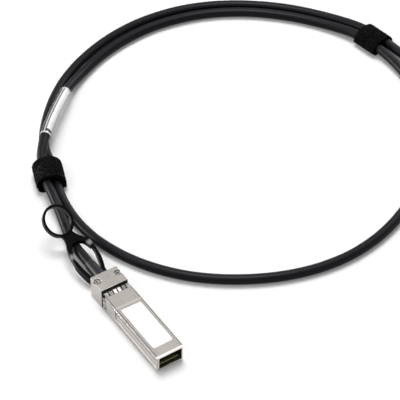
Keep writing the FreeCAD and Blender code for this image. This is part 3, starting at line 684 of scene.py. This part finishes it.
def cable():
    """The jacket: one smooth line through the route, with a round section."""
    curve = bpy.data.curves.new("cable", "CURVE")
    curve.dimensions = "3D"
    line = curve.splines.new("NURBS")
    line.points.add(len(ROUTE) - 1)
    for point, place in zip(line.points, ROUTE):
        point.co = (*place, 1.0)
    line.order_u = 3
    line.use_endpoint_u = True
    line.resolution_u = 8
    curve.bevel_depth = CABLE_RADIUS
    curve.bevel_resolution = 6
    curve.use_fill_caps = True
    piece = bpy.data.objects.new("cable", curve)
    scene.collection.objects.link(piece)
    curve.materials.append(cable_finish())
    return piece


jacket = cable()
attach(jacket, "cable_assembly")
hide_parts("cable_jacket")


# ---- sleeve and its label on the cable ----------------------------------------------------------


def cable_line():
    """Points along the middle of the cable, in order from the first plug."""
    bare = jacket.data.copy()
    bare.bevel_depth = 0.0
    carrier = bpy.data.objects.new("line", bare)
    mesh = bpy.data.meshes.new_from_object(carrier)
    points = [vertex.co.copy() for vertex in mesh.vertices]
    bpy.data.objects.remove(carrier)
    bpy.data.meshes.remove(mesh)
    return points


def stretch(start, end):
    """The part of the cable's first run, from the first plug, between two places across the loop."""
    first_run = line_points[: len(line_points) * 2 // 5]
    return [point for point in first_run if start < point.x < end]


def wrapped(name, points, outline, closed, wall, material):
    """A sheet with the given outline, wrapped along a stretch of the cable."""
    path = bpy.data.curves.new(name + "_path", "CURVE")
    path.dimensions = "3D"
    path.twist_mode = "Z_UP"
    run = path.splines.new("POLY")
    run.points.add(len(points) - 1)
    for knot, place in zip(run.points, points):
        knot.co = (*place, 1.0)
    section = bpy.data.curves.new(name + "_section", "CURVE")
    section.dimensions = "2D"
    ring = section.splines.new("POLY")
    ring.points.add(len(outline) - 1)
    for knot, (across, up) in zip(ring.points, outline):
        knot.co = (across, up, 0.0, 1.0)
    ring.use_cyclic_u = closed
    section_piece = bpy.data.objects.new(name + "_section", section)
    path.bevel_mode = "OBJECT"
    path.bevel_object = section_piece
    carrier = bpy.data.objects.new(name + "_path", path)
    scene.collection.objects.link(section_piece)
    scene.collection.objects.link(carrier)
    bpy.context.view_layer.update()
    depsgraph = bpy.context.evaluated_depsgraph_get()
    mesh = bpy.data.meshes.new_from_object(carrier.evaluated_get(depsgraph))
    bpy.data.objects.remove(carrier)
    bpy.data.objects.remove(section_piece)
    piece = bpy.data.objects.new(name, mesh)
    scene.collection.objects.link(piece)
    mesh.materials.clear()
    mesh.materials.append(material)
    hold(piece)
    bpy.ops.object.mode_set(mode="EDIT")
    bpy.ops.mesh.select_all(action="SELECT")
    bpy.ops.mesh.remove_doubles(threshold=0.00001)
    bpy.ops.mesh.normals_make_consistent(inside=False)
    bpy.ops.object.mode_set(mode="OBJECT")
    solid = piece.modifiers.new("wall", "SOLIDIFY")
    solid.thickness = wall
    solid.offset = -1.0
    apply_modifiers(piece)
    smooth(piece, 50)
    return piece


def around(radius, start, end, count):
    """Points round the cable, by angle in degrees from its right-hand side."""
    turns = [math.radians(start + (end - start) * index / (count - 1)) for index in range(count)]
    return [(radius * math.cos(turn), radius * math.sin(turn)) for turn in turns]


line_points = cable_line()
SLEEVE_RADIUS = CABLE_RADIUS + 0.00036
SLEEVE_WALL = 0.00016
MILKY_REACH = SLEEVE_RADIUS + 0.00012
SLEEVE_SPAN = (0.0243, 0.0518)
FIN_LENGTH = 0.0016
FIN_HALF_GAP = 0.00026
GLINT_RADIUS = SLEEVE_RADIUS + 0.00008
GLINT_THICKNESS = 0.00010
TAG_RADIUS = CABLE_RADIUS + 0.00012
TAG_THICKNESS = 0.00012
TAG_SPAN = (0.0265, 0.0504)

sleeve_outline = around(SLEEVE_RADIUS, 12.0, 348.0, 40)
fin_tip = SLEEVE_RADIUS + FIN_LENGTH
sleeve_outline += [(fin_tip, -FIN_HALF_GAP), (fin_tip, FIN_HALF_GAP)]
sleeve_run = stretch(*SLEEVE_SPAN)
film = film_finish((sleeve_run[0], sleeve_run[-1]), MILKY_REACH)
sleeve = wrapped("clear_sleeve", sleeve_run, sleeve_outline, True, SLEEVE_WALL, film)
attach(sleeve, "cable_assembly")
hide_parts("sleeve")

# A pale opaque strip along the sleeve at 93 to 103 degrees: a painted highlight on the film's edge.
glint_outline = around(GLINT_RADIUS, 93.0, 103.0, 4)
film_edge_glint = paper_finish("film_edge_glint", 0.62)
hem = wrapped("sleeve_edge_glint", sleeve_run, glint_outline, False, GLINT_THICKNESS, film_edge_glint)
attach(hem, "cable_assembly")

tag_run = stretch(*TAG_SPAN)
# Grey copy of the label paper round the rest of the label, under the white tag: painted shade.
shaded_side_outline = around(TAG_RADIUS, -60.0, 88.0, 24)
label_painted_shade = paper_finish("label_painted_shade", 0.36)
tail = wrapped("label_shaded_side", tag_run, shaded_side_outline, False, TAG_THICKNESS, label_painted_shade)
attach(tail, "cable_assembly")

tag_outline = around(TAG_RADIUS + TAG_THICKNESS, 6.0, 78.0, 14)
tag_white = paper_finish("tag_white", 1.0)
tag = wrapped("sleeve_label", tag_run, tag_outline, False, TAG_THICKNESS, tag_white)
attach(tag, "cable_assembly")
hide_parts("sleeve_tag")


# ---- hook-and-loop straps -----------------------------------------------------------------------

# Each strap stands a shift away from its node's middle, turned from the way across by its heading.
STRAP_WIDTH = 0.0135
LAYER = 0.0008
INNER_WIDTH = 0.0114
NEAR_HEIGHT = 0.0074
FAR_HEIGHT = 0.0054
NEAR_SHIFT = (-0.0002, -0.0001)
FAR_SHIFT = (0.0, 0.0)
NEAR_HEADING = -20.5
FAR_HEADING = 9.0
UNDER_CABLE = 0.0014
SHOULDER_RADIUS = 0.0054
FOOT_RADIUS = 0.0020
LAP_RISE = 1.05 * LAYER
LAP_START = -0.2
LAP_END = 0.1
STEP = 0.0009
CORNER_STEPS = 7
CUTS_ACROSS = 14
PILE_LOOPS = 2600
PILE_HEIGHT = 0.00042


def corner(centre, radius, start, end):
    """Points round an arc, by angle in degrees."""
    turns = [math.radians(start + (end - start) * step / CORNER_STEPS) for step in range(CORNER_STEPS + 1)]
    return [(centre[0] + radius * math.cos(turn), centre[1] + radius * math.sin(turn)) for turn in turns]


def band_line(half, low, high):
    """Section line of a wound strap: from under the lap, round both runs and over the lap.

    The lap starts at a part of the half width and ends at a part of the height.
    """
    radius = min(SHOULDER_RADIUS, high - low - FOOT_RADIUS)
    shoulder = high - radius
    inset, foot = half - FOOT_RADIUS, low + FOOT_RADIUS
    line = [(LAP_START * half, high), (half - radius, high)]
    line += corner((half - radius, shoulder), radius, 90, 0)
    line += corner((inset, foot), FOOT_RADIUS, 0, -90)
    line += corner((-inset, foot), FOOT_RADIUS, -90, -180)
    line += [(-half, (foot + shoulder) / 2)]
    line += corner((-half + radius, shoulder), radius + LAP_RISE, -180, -250)
    line += corner((half - radius, shoulder), radius + LAP_RISE, 90, 0)
    line += [(half + LAP_RISE, low + LAP_END * (high - low))]
    return line


def even_steps(line, pitch):
    """The same line walked in short steps of nearly one length."""
    places = [Vector((across, 0.0, up)) for across, up in line]
    walked = [places[0]]
    for start, end in zip(places, places[1:]):
        count = max(1, round((end - start).length / pitch))
        walked += [start.lerp(end, step / count) for step in range(1, count + 1)]
    return walked


def band(name, walked):
    """A flat strip, as wide as the strap, that follows the given places round the cable."""
    bpy.ops.mesh.primitive_plane_add(size=STRAP_WIDTH, location=walked[0])
    piece = bpy.context.active_object
    piece.name = name
    bpy.ops.object.transform_apply(location=True, rotation=True, scale=True)
    bpy.ops.object.mode_set(mode="EDIT")
    select_vertices(piece, lambda place: place.x > walked[0].x)
    bpy.ops.mesh.delete(type="VERT")
    bpy.ops.mesh.select_all(action="SELECT")
    bpy.ops.transform.translate(value=(STRAP_WIDTH / 2, 0, 0))
    bpy.ops.mesh.subdivide(number_cuts=CUTS_ACROSS)
    for start, end in zip(walked, walked[1:]):
        bpy.ops.mesh.extrude_region_move(TRANSFORM_OT_translate={"value": end - start})
    bpy.ops.mesh.select_all(action="SELECT")
    bpy.ops.mesh.normals_make_consistent(inside=False)
    return piece


def thicken(piece):
    """Turns a strip into tape: a wall with rounded rims and slightly uneven faces."""
    wall = piece.modifiers.new("wall", "SOLIDIFY")
    wall.thickness = LAYER
    wall.offset = 0.0
    rims = piece.modifiers.new("rims", "BEVEL")
    rims.width = 0.00025
    rims.segments = 2
    rims.angle_limit = math.radians(60)
    finer = piece.modifiers.new("finer", "SUBSURF")
    finer.levels = finer.render_levels = 1
    lumps = bpy.data.textures.new(piece.name + "_lumps", "CLOUDS")
    lumps.noise_scale = 0.0011
    lumps.noise_depth = 2
    uneven = piece.modifiers.new("uneven", "DISPLACE")
    uneven.texture = lumps
    uneven.texture_coords = "LOCAL"
    uneven.strength = 0.00028
    uneven.mid_level = 0.5
    apply_modifiers(piece)
    smooth(piece, 60)


def strap(name, node, shift, heading, inner_height):
    """Lapped band of black hook-and-loop tape, with pile standing off its faces.

    It stands a shift away from its node's middle, to a tenth of a millimetre.
    """
    low, high = LAYER / 2, UNDER_CABLE + inner_height + LAYER / 2
    piece = band(name, even_steps(band_line(INNER_WIDTH / 2 + LAYER / 2, low, high), STEP))
    place = [round(part + moved, 4) for part, moved in zip(middle(node), shift)]
    bpy.ops.transform.rotate(value=-math.radians(heading), orient_axis="Z", center_override=(0, 0, 0))
    bpy.ops.transform.translate(value=(*place, 0))
    bpy.ops.object.mode_set(mode="OBJECT")
    settle_order(piece)
    thicken(piece)
    grow_pile(piece, PILE_LOOPS, PILE_HEIGHT)
    piece.data.materials.clear()
    piece.data.materials.append(pile_black)
    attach(piece, "cable_assembly")
    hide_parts(node)
    return piece


LOOP_STEPS = 4
LEAN = 0.6
SCATTER = 0.0003
SUNK = 0.00008
DOWNWARD = -0.5


def loop_shape():
    """One loop of pile, one unit or so high: a thin thread that bends over as it leaves the XY plane."""
    bpy.ops.mesh.primitive_circle_add(vertices=3, radius=0.06, location=(0, 0, 0))
    thread = bpy.context.active_object
    bpy.ops.object.mode_set(mode="EDIT")
    bpy.ops.mesh.select_all(action="SELECT")
    for step in range(LOOP_STEPS):
        rise = (0.08 * (step + 1), 0, 0.36 - 0.05 * step)
        bpy.ops.mesh.extrude_region_move(TRANSFORM_OT_translate={"value": rise})
        bpy.ops.transform.rotate(value=math.radians(-18), orient_axis="Y")
    bpy.ops.object.mode_set(mode="OBJECT")
    settle_order(thread)
    shape = thread.data
    bpy.data.objects.remove(thread)
    return shape


def grow_pile(piece, count, height):
    """Sets copies of one loop at random over a piece's faces, but not where they face downward."""
    chance = random.Random(17)
    shape = loop_shape()
    faces = [face for face in piece.data.polygons if face.normal.z > DOWNWARD]
    areas = [face.area for face in faces]
    picked = chance.choices(faces, weights=areas, k=count)
    spots = [(face.center.copy(), face.normal.copy()) for face in picked]
    whole = bmesh.new()
    whole.from_mesh(piece.data)
    for spot, normal in spots:
        lean = Vector([chance.uniform(-LEAN, LEAN) for _ in range(3)])
        upright = (normal + lean).normalized()
        turn = upright.to_track_quat("Z", "Y").to_matrix().to_4x4()
        spin = Matrix.Rotation(chance.uniform(0, math.tau), 4, "Z")
        scatter = Vector([chance.uniform(-SCATTER, SCATTER) for _ in range(3)])
        scatter -= scatter.dot(normal) * normal
        size = height * chance.uniform(0.5, 1.0)
        root = Matrix.Translation(spot + scatter - normal * SUNK)
        copy = shape.copy()
        copy.transform(root @ turn @ spin @ Matrix.Scale(size, 4))
        whole.from_mesh(copy)
        bpy.data.meshes.remove(copy)
    whole.to_mesh(piece.data)
    whole.free()


pile_black = pile_finish()
strap_near = strap("strap_near", "strap_1", NEAR_SHIFT, NEAR_HEADING, NEAR_HEIGHT)
strap_far = strap("strap_far", "strap_2", FAR_SHIFT, FAR_HEADING, FAR_HEIGHT)


# ---- plugs --------------------------------------------------------------------------------------

shell_face = cast_finish("shell_nickel", (0.385, 0.362, 0.338), 0.23, shell_painted_light)
# The eased strips of the shell and its front lip take this: a painted highlight.
shell_edge = edge_highlight_finish("shell_edge_highlight", (0.90, 0.88, 0.85))
# Near-black copy of the nickel for faces in shade behind the collar, in the screw bores and drive slots and
# under the panel steps: painted shade.
gap_painted_shade = cast_finish("shell_gap_shade", (0.030, 0.028, 0.026), 0.50)
# Lighter copy of the nickel for the side panels, brow and block sides: painted light.
shell_panel_lit = cast_finish("shell_panel_lit", (0.46, 0.432, 0.408), 0.26, panel_painted_light)
# Dark copy of the nickel for the slanted brinks along the top's sides: painted shade.
shell_brink_shade = cast_finish("shell_brink_shade", (0.13, 0.122, 0.116), 0.34)
# Lighter copy of the nickel for the upward ledges on the sides: painted light.
shell_ledge_lit = cast_finish("shell_ledge_lit", (0.46, 0.44, 0.42), 0.46)
fingers = finger_finish()
strip = sheet_finish("spring_plain", (0.50, 0.48, 0.45), 0.28)
screw_head = sheet_finish("screw_zinc", (0.25, 0.24, 0.23), 0.26)
tab_face = tab_finish()
boot_black = plastic_finish(
    "boot_black", (0.0055, 0.006, 0.0070), (0.0085, 0.0090, 0.0105), 0.38, 0.12, gloss=0.18
)
chip_black = plastic_finish("chip_black", (0.010, 0.010, 0.011), (0.018, 0.018, 0.018), 0.5, 0.15)
wire_white = plastic_finish("wire_white", (0.66, 0.66, 0.64), (0.76, 0.76, 0.74), 0.40, 0.12)
label_white = paper_finish("label_white", 0.925)
contact_gold = gold_finish()
board = board_finish()

shell_finishes = [shell_face, shell_edge, gap_painted_shade, shell_panel_lit, shell_brink_shade, shell_ledge_lit]

FORK_START = 0.0205
PAST_THE_TAB = 1.0
# How wide each part's edges are eased and its finishes. The tab is made fuller as well, by each
# amount up to its own place.
EASED = {
    "base": (0.00014, shell_finishes),
    "cover": (0.00014, shell_finishes),
    "screws": (0.00005, [screw_head, screw_head, gap_painted_shade]),
    "pull_tab": (0.00022, [tab_face], ((PAST_THE_TAB, 0.00018), (FORK_START, 0.00026))),
    "boot": (0.00025, [boot_black]),
    "return_spring": (0.00004, [strip]),
}
# Parts that keep their CAD shape.
PLAIN = {
    "emi_collar": fingers,
    "latch": shell_face,
    "latch_pin": strip,
    "slider": strip,
    "bottom_plate": strip,
    "paddle_card": board,
    "contacts": contact_gold,
    "memory_chip": chip_black,
    "wires": wire_white,
    "ferrule": strip,
    "label": label_white,
}

# Where faces of the shell take a finish with painted light or shade: lengths, reaches to either side of the
# plug's middle, levels in the frame, and how far sideways an upright face looks.
COLLAR_GAP = 0.0006
COLLAR_TOP = 0.0104
SCREW_HEAD_RADIUS = 0.00135
BORE_REACH = 0.0019
BORE_DEPTH = 0.0011
BORE_RIM = 0.00006
PANEL_SIDE = 0.0065
STEP_SIDE = 0.00672
LEDGE_SIDE = 0.0069
BLOCK_SIDE = 0.0068
PANEL_LEVELS = (0.0015, 0.0083)
BROW_LEVEL = 0.0086
DRIVE_LEVEL = 0.0095
UPRIGHT = 0.95
NEAR = 0.00005


def shade_shell(plug, pieces):
    """Painted shade where the casting falls away behind the collar, round the screws and along the side
    panels, painted light on the panels, and a painted highlight on the front lip."""
    centre_x = middle(plug + "_cover")[0]
    block_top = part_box(plug + "_cover")[1].z
    collar_low, collar_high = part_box(plug + "_emi_collar")
    screws_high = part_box(plug + "_screws")[1]
    block_front = collar_high.y + COLLAR_GAP
    bore = Vector((screws_high.x - centre_x - SCREW_HEAD_RADIUS, middle(plug + "_screws")[1]))

    def off_middle(centre):
        return abs(centre.x - centre_x)

    def at_panel(centre):
        return PANEL_LEVELS[0] < centre.z < PANEL_LEVELS[1]

    def before_collar(centre):
        return centre.y < collar_low.y

    def under_collar(centre, normal):
        return collar_low.y - NEAR < centre.y < block_front + NEAR and 0.0 < centre.z < COLLAR_TOP

    def in_bore(centre, normal):
        reach = (Vector((off_middle(centre), centre.y)) - bore).length
        below_top = block_top - BORE_DEPTH < centre.z < block_top - BORE_RIM
        return reach < BORE_REACH and below_top and abs(normal.z) < 0.5

    def side_step(centre, normal):
        faces_away = normal.z < -0.7 or normal.y < -0.7
        return PANEL_SIDE < off_middle(centre) < STEP_SIDE and faces_away and at_panel(centre)

    def side_ledge(centre, normal):
        return PANEL_SIDE < off_middle(centre) < LEDGE_SIDE and normal.z > 0.3 and at_panel(centre)

    def side_brink(centre, normal):
        slanted = abs(normal.x) > 0.25 and normal.z > 0.25
        return slanted and centre.z > SHELL_TOP and before_collar(centre)

    def side_panel(centre, normal):
        upright = abs(normal.x) > UPRIGHT
        panel = abs(off_middle(centre) - PANEL_SIDE) < 0.00002 and centre.y < collar_low.y - 0.002
        brow = upright and centre.z > BROW_LEVEL and before_collar(centre)
        block = upright and off_middle(centre) > BLOCK_SIDE and centre.y > block_front
        return panel or brow or block

    def front_lip(centre, normal):
        return normal.y < -0.5 and normal.z > 0.5

    def drive_slot(centre, normal):
        below_head = screws_high.z - 0.00045 < centre.z < screws_high.z - 0.0001
        return below_head and centre.z > DRIVE_LEVEL

    # Painted highlight on the lip; painted shade behind the collar, in the bores, under the steps, on the
    # brinks and in the drive slots; painted light on the panels and ledges.
    for part in ("base", "cover"):
        redo_faces(pieces[part], EDGE, front_lip)
        redo_faces(pieces[part], GAP, under_collar)
        redo_faces(pieces[part], GAP, in_bore)
        redo_faces(pieces[part], GAP, side_step)
        redo_faces(pieces[part], PANEL, side_panel)
        redo_faces(pieces[part], LEDGE, side_ledge)
        redo_faces(pieces[part], BRINK, side_brink)
    redo_faces(pieces["screws"], GAP, drive_slot)


for plug in ("plug_a", "plug_b"):
    fresh = {}
    for part, settings in EASED.items():
        fresh[part] = eased(f"{plug}_{part}", *settings)
    shade_shell(plug, fresh)
    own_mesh(fresh["return_spring"])
    for part, finish in PLAIN.items():
        dress(f"{plug}_{part}", finish)


# ---- floor and light --------------------------------------------------------------------------

FLOOR_LEVEL = -0.0002
FLOOR_GLOW = 0.10
SKY_LIGHT = 0.30


def shown_rays(tree):
    """1 for rays from the camera and for those off shiny or through clear surfaces, else 0."""
    rays = tree.nodes.new("ShaderNodeLightPath")
    seen = Wire(tree, rays.outputs["Is Camera Ray"])
    shiny = Wire(tree, rays.outputs["Is Glossy Ray"])
    through = Wire(tree, rays.outputs["Is Transmission Ray"])
    return (seen + shiny + through).clamped()


def floor():
    """Pale floor that glows a little where it is seen, so that it renders white."""
    bpy.ops.mesh.primitive_plane_add(size=6.0, location=(0, 0, FLOOR_LEVEL))
    piece = bpy.context.active_object
    piece.name = "floor"
    kit = Finish("floor_white")
    matte = kit.node("BsdfDiffuse", Color=grey(0.93))
    glow = kit.node("Emission", Color=grey(1.0), Strength=shown_rays(kit.tree) * FLOOR_GLOW)
    whole = kit.node("AddShader", i0=matte, i1=glow)
    kit.tree.links.new(whole.socket, kit.output.inputs[0])
    piece.data.materials.append(kit.material)
    bpy.ops.object.select_all(action="DESELECT")


def sky():
    """White surround that is seen at full strength but lights the scene more softly."""
    world = bpy.data.worlds.new("studio")
    scene.world = world
    world.use_nodes = True
    tree = world.node_tree
    tree.nodes.clear()
    output = tree.nodes.new("ShaderNodeOutputWorld")
    back = tree.nodes.new("ShaderNodeBackground")
    strength = SKY_LIGHT + shown_rays(tree) * (1.0 - SKY_LIGHT)
    tree.links.new(strength.socket, back.inputs["Strength"])
    back.inputs["Color"].default_value = grey(1.0)
    tree.links.new(back.outputs[0], output.inputs[0])


def softbox(name, place, size, watts, shown_in_gloss=True, lights_colour=True):
    """A square or oblong lamp that faces the object."""
    light = bpy.data.lights.new(name, "AREA")
    light.shape = "RECTANGLE"
    light.size, light.size_y = size
    light.energy = watts
    lamp = bpy.data.objects.new(name, light)
    scene.collection.objects.link(lamp)
    lamp.location = place
    lamp.rotation_euler = (AIM - Vector(place)).to_track_quat("-Z", "Y").to_euler()
    lamp.visible_glossy = shown_in_gloss
    lamp.visible_diffuse = lights_colour


floor()
sky()
softbox("key", (0.34, 0.60, 1.82), (1.05, 1.05), 27.0, shown_in_gloss=False)
softbox("glint", (0.12, 0.18, 1.95), (0.45, 0.45), 40.0, lights_colour=False)
softbox("rim", (-1.35, 1.45, 0.55), (0.9, 0.5), 60.0, lights_colour=False)
softbox("sheen", (1.44, 0.75, 0.92), (0.6, 0.6), 14.0, lights_colour=False)
softbox("fill", (-1.1, 0.1, 1.2), (0.9, 0.9), 5.0)
